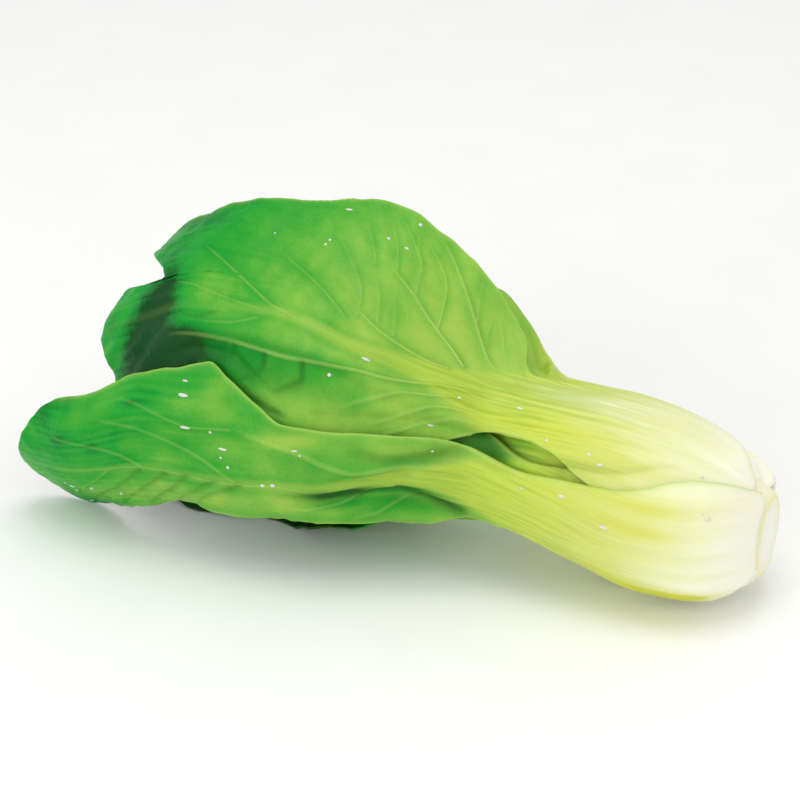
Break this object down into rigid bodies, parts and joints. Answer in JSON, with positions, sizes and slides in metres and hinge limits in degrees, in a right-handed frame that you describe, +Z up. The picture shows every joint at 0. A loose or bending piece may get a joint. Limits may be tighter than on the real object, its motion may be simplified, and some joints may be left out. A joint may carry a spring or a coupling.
{
  "type": "bok choy",
  "caption": "Head of green-stem bok choy lying on its side: swollen pale stalks round a cut stem, narrowing to necks and opening into broad wavy green leaves.",
  "frame": {"origin": "on the surface the head lies on, under the middle of its bounding box", "axes": "+X along the head from the leaf tips towards the cut stem, -Y towards the front leaf, +Z up"},
  "size_m": [0.219, 0.0883, 0.0962],
  "materials": {
    "stem": "moist cream cut face with a thin yellow-green rim",
    "outer_leaf": "waxy wet leaf: cream to lime stalk, mid green blade with paler veins",
    "inner_leaf": "waxy younger leaf: lime stalk and yellow-green blade",
    "heart_leaf": "tender pale yellow-green leaf"
  },
  "bodies": {
    "root": {"stem_base": "stem", "leaf_front": "outer_leaf", "leaf_lower_back": "outer_leaf", "leaf_upper_front": "outer_leaf", "leaf_bottom": "outer_leaf", "leaf_upper_back": "outer_leaf", "leaf_inner_front": "inner_leaf", "leaf_inner_lower_back": "inner_leaf", "leaf_inner_upper_front": "inner_leaf", "leaf_inner_bottom": "inner_leaf", "leaf_inner_upper_back": "inner_leaf", "leaf_heart_front": "heart_leaf", "leaf_heart_back": "heart_leaf"}
  },
  "joints": []
}
